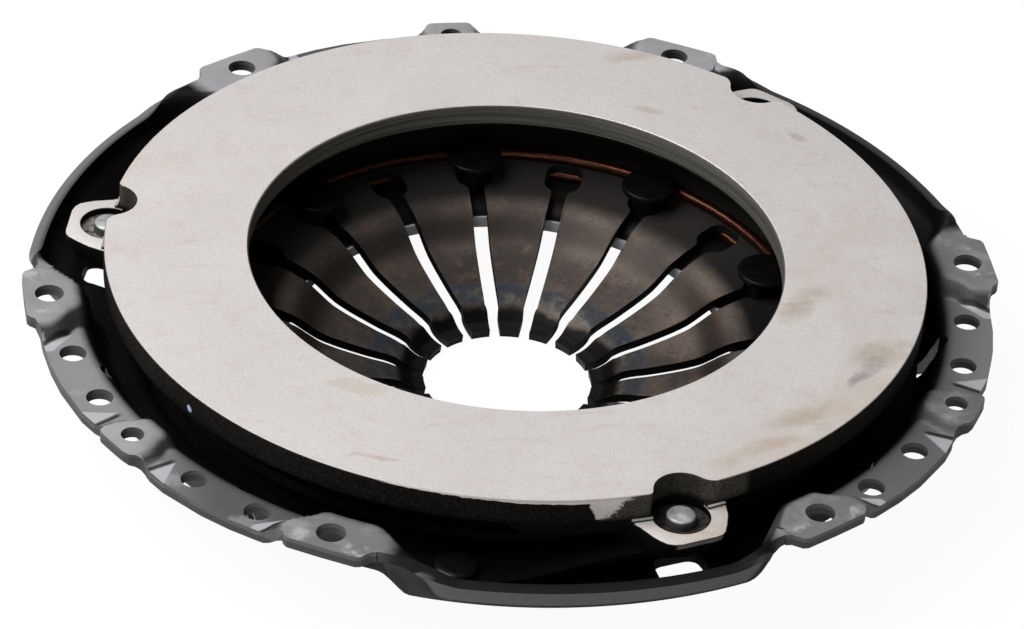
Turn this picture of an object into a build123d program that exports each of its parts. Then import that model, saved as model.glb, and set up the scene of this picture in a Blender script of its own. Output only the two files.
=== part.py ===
# Clutch pressure plate assembly: pressed steel cover, cast iron plate, diaphragm spring,
# two fulcrum rings, spacer rivets and drive straps.
# Frame: origin in the middle of the bolt circle, on the face of the bolting ears; +Z is the
# side of the friction face; the bolt holes stand at 0, 60, 120 ... degrees about the axis.
from build123d import *
from math import cos
from math import radians
from math import sin
from math import pi
from math import hypot
import os

os.makedirs("parts", exist_ok=True)

# ---------------------------------------------------------------- pressed cover (mm)
SHEET = 3.5  # thickness of the pressed steel
BOLT_R = 136.46  # bolt circle radius
BOLT_HOLE = 8.4  # clearance for M8
DOWEL_HOLE = 6.6
DOWEL_STEP = -1.2  # dowel ear below the bolting ears
PAD_STEP = -4.4  # balance pad below the bolting ears
BALANCE_R = 133.6
BALANCE_HOLE = 7.8
BALANCE_AT = (9.94, 19.61)  # degrees from the middle of a flange group
EAR_FLAT_R = 143.8  # straight outer edge of a bolting ear
EAR_HALF_ANGLE = 4.2
FLOOR_TOP = -17.9  # outer floor, under the straps
DISH_TOP = -21.0  # raised seat of the cover-side ring
DISH_LOW = -22.2  # floor under the outer part of the spring
LIP_TOP = -23.4  # ring round the central opening
OPENING_R = 66.1
LIP_STEP_R = 70.0
DISH_R = 111.9
RIM_R = 141.3  # middle of the sheet at the edge of the low rim
RIM_Z = -4.9
VENT_AT = 15.5  # slots through the wall, below the balance pads
VENT_WIDTH = 7.0
VENT_IN = 120.3
VENT_OUT = 128.2
WINDOW_IN = (115.5, 74.95, 3.45)  # radius, middle and half angle of each side of the window
WINDOW_OUT = (130.3, 72.9, 3.1)
WINDOW_CORNER = 3.0
GROUPS = (90, 210, 330)  # middles of the three flange groups

# ---------------------------------------------------------------- pressure plate (mm)
FACE_Z = 9.4  # friction face above the bolting ears
FACE_OUTER_R = 120.5
BORE_R = 78.5
CAST_BORE_R = 79.4
BORE_BAND = 6.5
PLATE_UNDER = 0.6
RIDGE_R = 106.3  # ridge that presses on the spring
LUG_R = 121.4  # axis of the strap rivets
LUG_AT = 73.8
LUG_FACE = 0.7
LUG_BOTTOM = -6.6
LUG_OUTER_R = 133.8
POCKET_RADIUS = 8.4
POCKET_FLOOR = -1.6
POCKET_BLEND = 5.5

# ---------------------------------------------------------------- spring, rings, rivets (mm)
SPRING_T = 2.6
SPRING_OUTER_R = 110.0
FINGERS = 18
SLOT = 4.5
TIP_SLOT = 3.2
TIP_R = 25.0
SHOULDER_R = 32.0
EYE_WIDTH = 11.0
EYE_IN = 74.6
EYE_OUT = 85.3
RING_R = 86.5
RING_WIRE = 3.3
RING_PLATE_Z = -13.1
RING_COVER_Z = -19.3
SPACER_R = 80.0
SPACER_SHANK = 9.6
SPACER_HEAD = 17.0
SPACER_TOP = -9.6
SPACERS = 9

# ---------------------------------------------------------------- drive straps (mm)
LEAF = 0.7
LEAVES = 3
STRAP_WIDTH = 13.0
COVER_RIVET_AT = 44.3
STRAP_RIVET_SHANK = 8.0
COVER_RIVET_HEAD = 12.6
COVER_RIVET_TOP = -12.8
LUG_RIVET_END = 8.6
LUG_RIVET_HEAD = 10.6


def at(radius, degrees, z=0.0):
    return Vector(radius * cos(radians(degrees)), radius * sin(radians(degrees)), z)


def disc(radius, z_low, z_high, place=(0, 0)):
    body = Cylinder(radius, z_high - z_low)
    return Pos(place[0], place[1], (z_low + z_high) / 2) * body


def turned(points):
    """A body of revolution about Z from (radius, z) corners."""
    outline = make_face(Polyline([(r, 0, z) for r, z in points], close=True))
    return revolve(outline, Axis.Z, 360)


def offset_line(line, distance):
    """The polyline moved sideways by distance, with mitred corners."""
    moved = []
    last = len(line) - 1
    for i, (r, z) in enumerate(line):
        r0, z0 = line[max(i - 1, 0)]
        r1, z1 = line[min(i + 1, last)]
        before = hypot(r - r0, z - z0)
        after = hypot(r1 - r, z1 - z)
        n0 = (-(z - z0) / before, (r - r0) / before) if before else None
        n1 = (-(z1 - z) / after, (r1 - r) / after) if after else None
        n0 = n0 or n1
        n1 = n1 or n0
        nr = n0[0] + n1[0]
        nz = n0[1] + n1[1]
        scale = 2.0 * distance / (nr * nr + nz * nz)
        moved.append((r + nr * scale, z + nz * scale))
    return moved


# ================================================================ cover
# The sheet's middle line in a radial plane, from the floor to its edge. One flange group is
# pressed up and out as a narrow wall with a flat flange; between groups it is a low open rim.
FLOOR_MID = FLOOR_TOP - SHEET / 2


def group_line(edge_r):
    """Radius, and the rise from the floor, the drop from the flange, or None on the flange."""
    return [
        (116.6, 0.0),
        (119.0, 0.0),
        (121.2, 0.75),
        (122.9, 2.65),
        (124.2, 5.05),
        (125.3, 7.95),
        (126.1, -3.0),
        (127.0, -0.9),
        (129.2, None),
        ((129.2 + edge_r) / 2, None),
        (edge_r, None),
    ]


GAP_LINE = [
    (116.6, FLOOR_MID),
    (124.5, FLOOR_MID),
    (127.3, -19.5),
    (129.2, -18.6),
    (131.6, -16.8),
    (134.2, -14.75),
    (136.8, -12.7),
    (138.9, -11.0),
    (140.2, -9.2),
    (140.9, -7.2),
    (RIM_R, RIM_Z),
]


def eased(value, low, high):
    t = min(max((value - low) / (high - low), 0.0), 1.0)
    return t * t * (3 - 2 * t)


def flange_height(angle, radius):
    """Ears stand above the pads; the end of each ear is round towards the axis."""
    inward = eased(137.5 - radius, 0.0, 9.0)
    height = DOWEL_STEP + (PAD_STEP - DOWEL_STEP) * eased(angle + 1.2 * inward, 2.4, 5.0)
    return height - PAD_STEP * eased(angle - 3.0 * inward, 22.0, 25.2)


def low_share(angle, radius):
    """How far the sheet has gone over from the flange to the low rim."""
    return eased(angle + 0.3 * (140.0 - radius), 37.0, 43.6)


# degrees from the middle of a group, edge radius
EAR_CORNER_R = EAR_FLAT_R / cos(radians(EAR_HALF_ANGLE))
STATIONS = [
    (0.0, 143.4),
    (2.0, 143.4),
    (2.8, 142.4),
    (3.6, 140.7),
    (4.4, 140.0),
    (5.6, 140.7),
    (8.0, 141.3),
    (14.0, 141.4),
    (21.4, 140.8),
    (22.8, 140.8),
    (24.2, 141.0),
    (25.8, EAR_CORNER_R),
    (26.8, 144.0),
    (28.2, EAR_FLAT_R),
    (30.0, EAR_FLAT_R),
    (32.1, EAR_FLAT_R),
    (33.2, 144.0),
    (34.2, EAR_CORNER_R),
    (34.9, 141.0),
    (36.0, 138.2),
    (37.6, 138.9),
    (38.7, 139.7),
    (39.7, 140.3),
    (40.7, 140.8),
    (42.0, 141.1),
    (44.6, RIM_R),
    (52.0, RIM_R),
    (60.0, RIM_R),
]


def sheet_section(station):
    angle, edge_r = station
    narrow = []
    for r, lift in group_line(edge_r):
        if lift is None:
            narrow.append((r, flange_height(angle, r) - SHEET / 2))
        elif lift < 0:
            narrow.append((r, flange_height(angle, r) - SHEET / 2 + lift))
        else:
            narrow.append((r, FLOOR_MID + lift))
    middle = []
    for (r, z), (gap_r, gap_z) in zip(narrow, GAP_LINE):
        share = low_share(angle, r)
        middle.append((r + (gap_r - r) * share, z + (gap_z - z) * share))
    upper = offset_line(middle, SHEET / 2)
    lower = offset_line(middle, -SHEET / 2)
    loop = upper + lower[::-1]
    corners = [at(r, angle, z) for r, z in loop]
    return make_face(Polyline(corners, close=True))


half_group = loft([sheet_section(s) for s in STATIONS], ruled=True)
other_half = mirror(half_group, Plane.XZ)
dish = turned(
    [
        (OPENING_R, LIP_TOP),
        (LIP_STEP_R, LIP_TOP),
        (LIP_STEP_R + 2.6, DISH_TOP),
        (91.0, DISH_TOP),
        (93.4, DISH_LOW),
        (DISH_R - 1.6, DISH_LOW),
        (DISH_R + 2.0, FLOOR_TOP),
        (118.2, FLOOR_TOP),
        (118.2, FLOOR_TOP - SHEET),
        (DISH_R + 3.6, FLOOR_TOP - SHEET),
        (DISH_R - 0.1, DISH_LOW - SHEET),
        (92.7, DISH_LOW - SHEET),
        (90.3, DISH_TOP - SHEET),
        (LIP_STEP_R + 3.8, DISH_TOP - SHEET),
        (LIP_STEP_R + 1.2, LIP_TOP - SHEET),
        (OPENING_R, LIP_TOP - SHEET),
    ]
)
group = half_group + other_half
cover = dish
for middle in GROUPS:
    cover += Rot(0, 0, middle) * group

holes = []
for middle in GROUPS:
    for side in (-1, 1):
        place = at(BOLT_R, middle + side * 30)
        holes.append(disc(BOLT_HOLE / 2, -12, 6, (place.X, place.Y)))
        for balance in BALANCE_AT:
            place = at(BALANCE_R, middle + side * balance)
            holes.append(disc(BALANCE_HOLE / 2, -12, 6, (place.X, place.Y)))
        vent = RectangleRounded(VENT_OUT - VENT_IN, VENT_WIDTH, 3.0)
        vent = Pos((VENT_IN + VENT_OUT) / 2, 0, -30) * extrude(vent, 34, dir=(0, 0, 1))
        holes.append(Rot(0, 0, middle + side * VENT_AT) * vent)
    place = at(BOLT_R, middle)
    holes.append(disc(DOWEL_HOLE / 2, -12, 6, (place.X, place.Y)))
    corners = [
        at(r, middle + around + side * half, -28)
        for (r, around, half), sides in ((WINDOW_IN, (-1, 1)), (WINDOW_OUT, (1, -1)))
        for side in sides
    ]
    window = make_face(Polyline(corners, close=True))
    window = fillet(window.vertices(), WINDOW_CORNER)
    holes.append(extrude(window, 16, dir=(0, 0, 1)))
    place = at(LUG_R, middle + COVER_RIVET_AT)
    holes.append(disc(STRAP_RIVET_SHANK / 2 + 0.05, -30, -12, (place.X, place.Y)))
    holes.append(disc(8.8, FLOOR_TOP, -12, (place.X, place.Y)))
for i in range(SPACERS):
    place = at(SPACER_R, 10 + 40 * i)
    holes.append(disc(SPACER_SHANK / 2 + 0.05, -32, -16, (place.X, place.Y)))
cover = cover - holes

# ================================================================ pressure plate
plate = turned(
    [
        (BORE_R + 0.5, FACE_Z),
        (FACE_OUTER_R - 0.4, FACE_Z),
        (FACE_OUTER_R, FACE_Z - 0.4),
        (FACE_OUTER_R, 1.0),
        (117.5, PLATE_UNDER),
        (114.0, PLATE_UNDER),
        (RIDGE_R + 3.0, -7.8),
        (RIDGE_R + 1.7, -9.9),
        (RIDGE_R + 0.5, -10.75),
        (RIDGE_R - 0.8, -10.85),
        (RIDGE_R - 2.2, -10.2),
        (RIDGE_R - 4.5, -7.6),
        (99.5, -0.6),
        (96.0, PLATE_UNDER),
        (CAST_BORE_R, PLATE_UNDER),
        (CAST_BORE_R, FACE_Z - BORE_BAND - 0.4),
        (BORE_R, FACE_Z - BORE_BAND),
        (BORE_R, FACE_Z - 0.5),
    ]
)

# the lug: a machined horseshoe face on a cast block with a tapered foot
LUG_OUTLINE = [
    (112.0, 65.6),
    (119.2, 67.2),
    (124.4, 68.1),
    (129.8, 69.3),
    (132.8, 70.3),
    (LUG_OUTER_R, 71.6),
    (LUG_OUTER_R, 74.2),
    (LUG_OUTER_R, 76.8),
    (131.6, 78.0),
    (127.2, 79.2),
    (122.6, 80.5),
    (112.0, 82.5),
]
top_loop = [at(r, a, LUG_FACE) for r, a in LUG_OUTLINE]
waist_loop = [at(r, a, -3.9) for r, a in LUG_OUTLINE]
foot_loop = [at(min(r, 112.0 + (r - 112.0) * 0.85), a, LUG_BOTTOM) for r, a in LUG_OUTLINE]
lug = loft(
    [make_face(Polyline(loop, close=True)) for loop in (foot_loop, waist_loop, top_loop)],
    ruled=True,
)
# the ring is deeper beside the lug, on the side of the strap
deep = turned([(113.2, 2.0), (120.4, 2.0), (120.4, -2.6), (113.2, -2.6)])
wedge_loop = [at(0, 0, -5)] + [at(130, a, -5) for a in (51.5, 56.0, 60.0, 64.0, 68.0, 72.0)]
wedge = extrude(make_face(Polyline(wedge_loop, close=True)), 10, dir=(0, 0, 1))
deep = deep & wedge
rivet_place = at(LUG_R, LUG_AT)

# the rivet pocket breaks out of the ring's edge with one sharp and one rounded corner
pocket = Pos(rivet_place.X, rivet_place.Y) * Circle(POCKET_RADIUS)
outline = Circle(FACE_OUTER_R + 0.01) - pocket
corner_near = at(FACE_OUTER_R, LUG_AT + 4)
far_corner = outline.vertices().sort_by_distance(corner_near)[0]
outline = fillet(far_corner, POCKET_BLEND)
pocket_tool = Circle(FACE_OUTER_R + 4) - outline
keep = Pos(rivet_place.X, rivet_place.Y) * Circle(18)
pocket_tool = pocket_tool & keep
pocket_tool = Pos(0, 0, LUG_FACE) * extrude(pocket_tool, 12, dir=(0, 0, 1))
for middle in GROUPS:
    plate += Rot(0, 0, middle) * deep
    plate += Rot(0, 0, middle) * lug
for middle in GROUPS:
    plate -= Rot(0, 0, middle) * pocket_tool
    place = at(LUG_R, middle + LUG_AT)
    plate -= disc(POCKET_RADIUS, POCKET_FLOOR, 3, (place.X, place.Y))
    plate -= disc(LUG_RIVET_END / 2 + 0.05, -9, 0, (place.X, place.Y))

# ================================================================ diaphragm spring
# upper face of the spring in a radial plane, from the tip of a finger to the outer edge
SPRING_TOP = [
    (TIP_R, -36.7),
    (28.4, -36.3),
    (30.3, -35.2),
    (32.3, -33.6),
    (35.7, -32.2),
    (41.0, -31.1),
    (46.0, -29.6),
    (51.5, -27.9),
    (56.1, -26.1),
    (60.0, -23.4),
    (63.0, -21.2),
    (67.7, -19.0),
    (73.5, -17.4),
    (RING_R, -14.8),
    (SPRING_OUTER_R - 0.3, -10.22),
]
SPRING_LOW = offset_line(SPRING_TOP, -SPRING_T)
spring = turned(SPRING_TOP + SPRING_LOW[::-1])
slot_face = Pos((EYE_IN + TIP_R) / 2, 0) * Rectangle(EYE_IN - TIP_R, SLOT)
slot_face -= Pos(TIP_R + 2, 0) * Rectangle((SHOULDER_R - TIP_R - 2) * 2, SLOT + 2)
slot_face += Pos(TIP_R + 2, 0) * Rectangle((SHOULDER_R - TIP_R) * 2, TIP_SLOT)
eye = Pos((EYE_IN + EYE_OUT) / 2, 0) * RectangleRounded(EYE_OUT - EYE_IN, EYE_WIDTH, 2.8)
slot = Pos(0, 0, -45) * extrude(slot_face + eye, 40, dir=(0, 0, 1))
slots = [Rot(0, 0, 10 + 360 / FINGERS * i) * slot for i in range(FINGERS)]
spring = spring - slots

# ================================================================ fulcrum rings
ring_plate_side = Pos(0, 0, RING_PLATE_Z) * Torus(RING_R, RING_WIRE / 2)
ring_cover_side = Pos(0, 0, RING_COVER_Z) * Torus(RING_R, RING_WIRE / 2)

# ================================================================ spacer rivets
shank_r = SPACER_SHANK / 2
head_r = SPACER_HEAD / 2
head_under = RING_PLATE_Z + RING_WIRE / 2 + 0.02
spacer = turned(
    [
        (0, SPACER_TOP),
        (head_r - 2.2, SPACER_TOP),
        (head_r - 0.7, SPACER_TOP - 0.35),
        (head_r, SPACER_TOP - 1.0),
        (head_r, head_under),
        (5.8, head_under),
        (shank_r, head_under - 0.6),
        (shank_r, DISH_TOP - SHEET - 0.02),
        (5.9, DISH_TOP - SHEET - 0.02),
        (5.9, DISH_TOP - SHEET - 1.0),
        (4.8, DISH_TOP - SHEET - 1.8),
        (0, DISH_TOP - SHEET - 2.2),
    ]
)

# ================================================================ drive straps
# a leaf lies flat on the cover floor, rises in an S and lies flat under the lug
strap_from = at(LUG_R, COVER_RIVET_AT)
strap_to = at(LUG_R, LUG_AT)
STRAP_LENGTH = (strap_to - strap_from).length
STRAP_LOW = FLOOR_TOP
STRAP_HIGH = LUG_BOTTOM - LEAF * LEAVES - 0.03
FLAT_END = 7.6


def strap_height(s):
    t = (s - FLAT_END) / (STRAP_LENGTH - 2 * FLAT_END)
    t = min(max(t, 0.0), 1.0)
    return STRAP_LOW + (STRAP_HIGH - STRAP_LOW) * t * t * (3 - 2 * t)


STRAP_STEPS = 16
span = STRAP_LENGTH - 2 * FLAT_END
stops = [-STRAP_WIDTH, FLAT_END]
stops += [FLAT_END + span * i / STRAP_STEPS for i in range(1, STRAP_STEPS)]
stops += [STRAP_LENGTH - FLAT_END, STRAP_LENGTH + STRAP_WIDTH]
strap_plan = SlotCenterToCenter(STRAP_LENGTH, STRAP_WIDTH)
strap_plan = Pos(STRAP_LENGTH / 2, 0) * strap_plan
strap_prism = Pos(0, 0, -25) * extrude(strap_plan, 25, dir=(0, 0, 1))
direction = strap_to - strap_from
strap_turn = Vector(1, 0, 0).get_signed_angle(direction, Vector(0, 0, 1))


def leaf(index):
    low = [(s, strap_height(s) + LEAF * index + 0.01) for s in stops]
    high = [(s, strap_height(s) + LEAF * (index + 1) - 0.01) for s in stops]
    loop = [(s, 0, z) for s, z in low + high[::-1]]
    band = extrude(make_face(Polyline(loop, close=True)), STRAP_WIDTH, both=True)
    band = band & strap_prism
    band -= disc(STRAP_RIVET_SHANK / 2 + 0.05, -25, 0, (0, 0))
    band -= disc(LUG_RIVET_END / 2 + 0.1, -25, 0, (STRAP_LENGTH, 0))
    band = Rot(0, 0, strap_turn) * band
    return Pos(strap_from.X, strap_from.Y) * band


# ================================================================ strap rivets
low_head = LUG_BOTTOM - LEAF * LEAVES - 0.06
lug_rivet = turned(
    [
        (0, LUG_FACE),
        (2.6, LUG_FACE - 0.1),
        (LUG_RIVET_END / 2 - 0.3, LUG_FACE - 0.45),
        (LUG_RIVET_END / 2, LUG_FACE - 0.9),
        (LUG_RIVET_END / 2, low_head),
        (LUG_RIVET_HEAD / 2, low_head),
        (LUG_RIVET_HEAD / 2, low_head - 1.1),
        (LUG_RIVET_HEAD / 2 - 1.2, low_head - 2.0),
        (0, low_head - 2.3),
    ]
)
stack_top = FLOOR_TOP + LEAF * LEAVES + 0.02
under = FLOOR_TOP - SHEET - 0.02
cover_rivet = turned(
    [
        (0, COVER_RIVET_TOP),
        (3.2, COVER_RIVET_TOP - 0.25),
        (5.2, COVER_RIVET_TOP - 0.95),
        (COVER_RIVET_HEAD / 2, COVER_RIVET_TOP - 2.0),
        (COVER_RIVET_HEAD / 2, stack_top),
        (STRAP_RIVET_SHANK / 2, stack_top),
        (STRAP_RIVET_SHANK / 2, under),
        (5.6, under),
        (5.6, under - 0.9),
        (4.6, under - 1.9),
        (0, under - 2.2),
    ]
)

# ================================================================ one file per piece
pieces = {
    "cover": cover,
    "pressure_plate": plate,
    "diaphragm_spring": spring,
    "fulcrum_ring_plate_side": ring_plate_side,
    "fulcrum_ring_cover_side": ring_cover_side,
}
for i in range(SPACERS):
    place = at(SPACER_R, 10 + 40 * i)
    pieces[f"spacer_rivet_{i + 1}"] = Pos(place.X, place.Y) * spacer
leaves = [leaf(index) for index in range(LEAVES)]
for number, middle in enumerate(GROUPS, start=1):
    for index, strip in enumerate(leaves, start=1):
        pieces[f"strap_{number}_leaf_{index}"] = Rot(0, 0, middle) * strip
    place = at(LUG_R, middle + LUG_AT)
    pieces[f"lug_rivet_{number}"] = Pos(place.X, place.Y) * lug_rivet
    place = at(LUG_R, middle + COVER_RIVET_AT)
    pieces[f"cover_strap_rivet_{number}"] = Pos(place.X, place.Y) * cover_rivet

for name, shape in pieces.items():
    solids = shape.solids()
    print(name, len(solids), round(shape.volume), shape.is_valid)
    export_step(shape, f"parts/{name}.step")
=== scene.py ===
from math import atan2, cos, degrees, pi, radians, sin

import bmesh
import bpy
from mathutils import Matrix, Vector


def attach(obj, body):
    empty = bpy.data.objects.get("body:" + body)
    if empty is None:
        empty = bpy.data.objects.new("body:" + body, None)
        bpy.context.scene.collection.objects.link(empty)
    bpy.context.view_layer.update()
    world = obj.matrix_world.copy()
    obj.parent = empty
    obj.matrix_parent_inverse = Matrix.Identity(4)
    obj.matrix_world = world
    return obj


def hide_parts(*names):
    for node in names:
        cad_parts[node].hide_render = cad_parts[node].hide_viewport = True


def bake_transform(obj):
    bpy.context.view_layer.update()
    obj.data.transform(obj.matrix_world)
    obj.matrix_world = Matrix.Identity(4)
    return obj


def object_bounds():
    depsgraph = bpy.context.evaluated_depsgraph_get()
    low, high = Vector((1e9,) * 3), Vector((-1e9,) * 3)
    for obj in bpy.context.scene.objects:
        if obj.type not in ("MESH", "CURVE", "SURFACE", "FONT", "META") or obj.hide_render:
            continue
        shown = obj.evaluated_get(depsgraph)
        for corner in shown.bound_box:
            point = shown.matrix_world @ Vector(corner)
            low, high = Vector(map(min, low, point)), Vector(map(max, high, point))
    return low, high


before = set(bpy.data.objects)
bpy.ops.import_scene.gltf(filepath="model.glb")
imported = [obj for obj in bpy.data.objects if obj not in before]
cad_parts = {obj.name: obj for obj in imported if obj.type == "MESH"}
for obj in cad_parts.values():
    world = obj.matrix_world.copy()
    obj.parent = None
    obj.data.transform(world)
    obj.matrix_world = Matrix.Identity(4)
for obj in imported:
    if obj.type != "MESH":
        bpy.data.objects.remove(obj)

cad_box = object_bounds()

# ---------------------------------------------------------------------------
# Cover. One pressing of 3.5 mm steel: a dished floor with a round opening, three flange groups
# drawn up and out to carry the bolts and dowels, and a low open rim between the groups.
# It is pressed, blanked to its outline, pierced, then coined flat on the bolting ears.
MM = 0.001
SHEET = 3.5
EAR_TOP = 0.0
PAD_TOP = -4.4
DOWEL_TOP = -1.2
FLOOR = -17.9 - SHEET / 2
GROUP_MIDDLES = (90, 210, 330)
GROUP_STEP = 120
GROUP_END = 35.7
BLANK_EDGE = 146.5
FLOOR_PRESS_RADIUS = 2.0
TURNS = 600

DISHED_FLOOR = [
    (66.1, -25.15), (69.9, -25.15), (73.2, -22.75), (91.0, -22.75), (93.4, -23.95),
    (110.2, -23.95), (113.8, -19.65), (116.9, -19.65),
]
# the wall of a flange group stands on the floor; its flange hangs from the height of the ears
WALL_RISE = [(119.0, 0.0), (121.2, 0.75), (122.9, 2.65), (124.2, 5.05), (125.3, 7.95)]
FLANGE_DROP = [(126.35, -3.9), (126.75, -2.2), (127.5, -1.03), (128.65, -0.28), (130.1, 0)]
FLANGE_ROWS = 12
LOW_RIM = [
    (124.5, FLOOR), (127.3, -19.5), (129.2, -18.6), (131.6, -16.8), (134.2, -14.75),
    (136.8, -12.7), (138.9, -11.0), (139.7, -10.1), (140.2, -9.2), (140.4, -8.65),
    (140.6, -8.1), (140.8, -7.5), (140.95, -6.85), (141.1, -6.0), (141.3, -4.9),
]


def rounded(line, cut):
    """The line with three points to each corner, so that the press radius shows."""
    points = [Vector(line[0])]
    for before, corner, after in zip(line, line[1:], line[2:]):
        before, corner, after = Vector(before), Vector(corner), Vector(after)
        reach = min(cut, (corner - before).length * 0.45, (after - corner).length * 0.45)
        first = corner + (before - corner).normalized() * reach
        last = corner + (after - corner).normalized() * reach
        points += [first, first * 0.25 + corner * 0.5 + last * 0.25, last]
    return points + [Vector(line[-1])]


def along(line, share):
    """The point at a share of the line's length."""
    line = [Vector(point) for point in line]
    steps = [(after - before).length for before, after in zip(line, line[1:])]
    left = share * sum(steps)
    for before, after, step in zip(line, line[1:], steps):
        if left <= step:
            return before.lerp(after, left / step)
        left -= step
    return line[-1]


def eased(value, low, high):
    """0 below low, 1 above high, and eased between."""
    t = min(max((value - low) / (high - low), 0.0), 1.0)
    return t * t * (3 - 2 * t)


# where each ear ends, in degrees from the middle of its group, and how far it narrows inwards
DOWEL_EAR_END, DOWEL_EAR_TAPER = (2.4, 5.0), 1.2
BOLT_EAR_END, BOLT_EAR_TAPER = (22.0, 25.2), 3.0
EAR_ROUND_FROM, EAR_ROUND_DEPTH = 137.5, 9.0


def flange_height(angle, radius):
    """Ears stand above the pads, and the inner end of each ear is round."""
    inward = eased(EAR_ROUND_FROM - radius, 0.0, EAR_ROUND_DEPTH)
    past_dowel = eased(angle + DOWEL_EAR_TAPER * inward, *DOWEL_EAR_END)
    on_bolt_ear = eased(angle - BOLT_EAR_TAPER * inward, *BOLT_EAR_END)
    return DOWEL_TOP + (PAD_TOP - DOWEL_TOP) * past_dowel + (EAR_TOP - PAD_TOP) * on_bolt_ear


# the sheet goes down to the low rim over these degrees, later towards the outside
LOW_RIM_START = (38.6, 44.4)
LOW_RIM_SKEW, SKEW_INNER, SKEW_OUTER = 0.45, 127.0, 140.0
SOONER_BY, LATER_BY = 1.6, 0.9


def gap_angle(signed_angle):
    """The low rim begins sooner on one side of a group than on the other."""
    return signed_angle - LATER_BY if signed_angle > 0 else SOONER_BY - signed_angle


def low_share(angle, radius):
    """How far the sheet has gone over from the flange to the low rim."""
    return eased(angle + LOW_RIM_SKEW * (SKEW_OUTER - max(radius, SKEW_INNER)), *LOW_RIM_START)


# two climbs, each a height and the degrees it starts and ends at, and the radii they fade over
WINDOW_CLIMBS = [(0.8, -54.0, -49.0), (1.2, -48.5, -42.0)]
CLIMB_INNER, CLIMB_OUTER = (117.0, 122.0), (131.0, 137.0)


def window_rise(signed_angle, radius):
    """Past a lug's window the floor already climbs towards the next group."""
    if signed_angle > 0:
        return 0.0
    rise = sum(height * eased(signed_angle, start, end) for height, start, end in WINDOW_CLIMBS)
    return rise * eased(radius, *CLIMB_INNER) * (1 - eased(radius, *CLIMB_OUTER))


RIM_EDGE, RIM_FLARE, RIM_FLARED = 139.4, 1.9, (37.6, 41.0)
rim_rows = len(WALL_RISE) + len(FLANGE_DROP) + FLANGE_ROWS
rim_line = [along(LOW_RIM, row / (rim_rows - 1)) for row in range(rim_rows)]


def pressed_line(signed_angle):
    """The middle of the sheet along one radius, degrees away from the middle of a group."""
    angle = abs(signed_angle)
    to_gap = gap_angle(signed_angle)
    edge = BLANK_EDGE if angle < GROUP_END else RIM_EDGE + RIM_FLARE * eased(to_gap, *RIM_FLARED)
    line = [(r, FLOOR + rise) for r, rise in WALL_RISE]
    line += [(r, flange_height(angle, r) - SHEET / 2 + drop) for r, drop in FLANGE_DROP]
    roll_end = FLANGE_DROP[-1][0]
    for row in range(1, FLANGE_ROWS + 1):
        r = roll_end + (edge - roll_end) * row / FLANGE_ROWS
        line.append((r, flange_height(angle, r) - SHEET / 2))
    for place, (radius, height) in enumerate(rim_line):
        r, z = line[place]
        share = low_share(to_gap, r)
        height += window_rise(signed_angle, radius)
        line[place] = (r + (radius - r) * share, z + (height - z) * share)
    return rounded(DISHED_FLOOR, FLOOR_PRESS_RADIUS)[:-1] + line


def group_angle(azimuth):
    """Degrees from the middle of the nearest flange group."""
    return (azimuth - GROUP_MIDDLES[0] + GROUP_STEP / 2) % GROUP_STEP - GROUP_STEP / 2


def turned(bm, points, steps):
    """Turns a line of (radius, height) points in mm about the clutch's axis."""
    corners = [bm.verts.new((r * MM, 0, z * MM)) for r, z in points]
    line = [bm.edges.new(pair) for pair in zip(corners, corners[1:])]
    bmesh.ops.spin(bm, geom=corners + line, cent=(0, 0, 0), axis=(0, 0, 1), dvec=(0, 0, 0),
                   angle=2 * pi, steps=steps, use_merge=True, use_duplicate=False)
    bmesh.ops.remove_doubles(bm, verts=bm.verts, dist=1e-7)
    bmesh.ops.recalc_face_normals(bm, faces=bm.faces)


def prism(bm, outline, low, high):
    """A flat outline in mm, drawn up from low to high."""
    corners = [bm.verts.new((x * MM, y * MM, low * MM)) for x, y in outline]
    face = bm.faces.new(corners)
    risen = bmesh.ops.extrude_face_region(bm, geom=[face])
    top = [v for v in risen["geom"] if isinstance(v, bmesh.types.BMVert)]
    bmesh.ops.translate(bm, verts=top, vec=(0, 0, (high - low) * MM))
    bmesh.ops.recalc_face_normals(bm, faces=bm.faces)
    return corners + top


def polar(radius, azimuth):
    """The x and y of a point at a radius, its azimuth in degrees."""
    return radius * cos(radians(azimuth)), radius * sin(radians(azimuth))


def arc(centre, radius, start, end, steps):
    """Points along an arc in mm, its angles in degrees."""
    return [(centre[0] + radius * cos(radians(start + (end - start) * i / steps)),
             centre[1] + radius * sin(radians(start + (end - start) * i / steps)))
            for i in range(steps + 1)]


def soft_uprights(bm, verts, radius):
    """Rounds the upright edges of a prism."""
    uprights = {e for v in verts for e in v.link_edges
                if (e.verts[0].co.xy - e.verts[1].co.xy).length < 1e-7}
    bmesh.ops.bevel(bm, geom=list(uprights), offset=radius * MM, offset_type="OFFSET",
                    segments=5, profile=0.5, affect="EDGES", material=-1,
                    clamp_overlap=True)


def punch(bm, radius, azimuth, across, low, high, sides=48):
    """A round punch for one hole, its sizes in mm."""
    x, y = polar(radius, azimuth)
    made = bmesh.ops.create_cone(bm, cap_ends=True, segments=sides, radius1=across / 2 * MM,
                                 radius2=across / 2 * MM, depth=(high - low) * MM)
    bmesh.ops.translate(bm, verts=made["verts"], vec=(x * MM, y * MM, (low + high) / 2 * MM))


def piece(name, bm):
    """The finished mesh as an object of its own."""
    mesh = bpy.data.meshes.new(name)
    bm.to_mesh(mesh)
    bm.free()
    made = bpy.data.objects.new(name, mesh)
    bpy.context.scene.collection.objects.link(made)
    return made


def cut(target, tool, operation="DIFFERENCE"):
    """Cuts a tool's shape out of the target, or joins it on."""
    knife = target.modifiers.new("cut", "BOOLEAN")
    knife.operation = operation
    knife.solver = "EXACT"
    knife.object = tool


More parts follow.
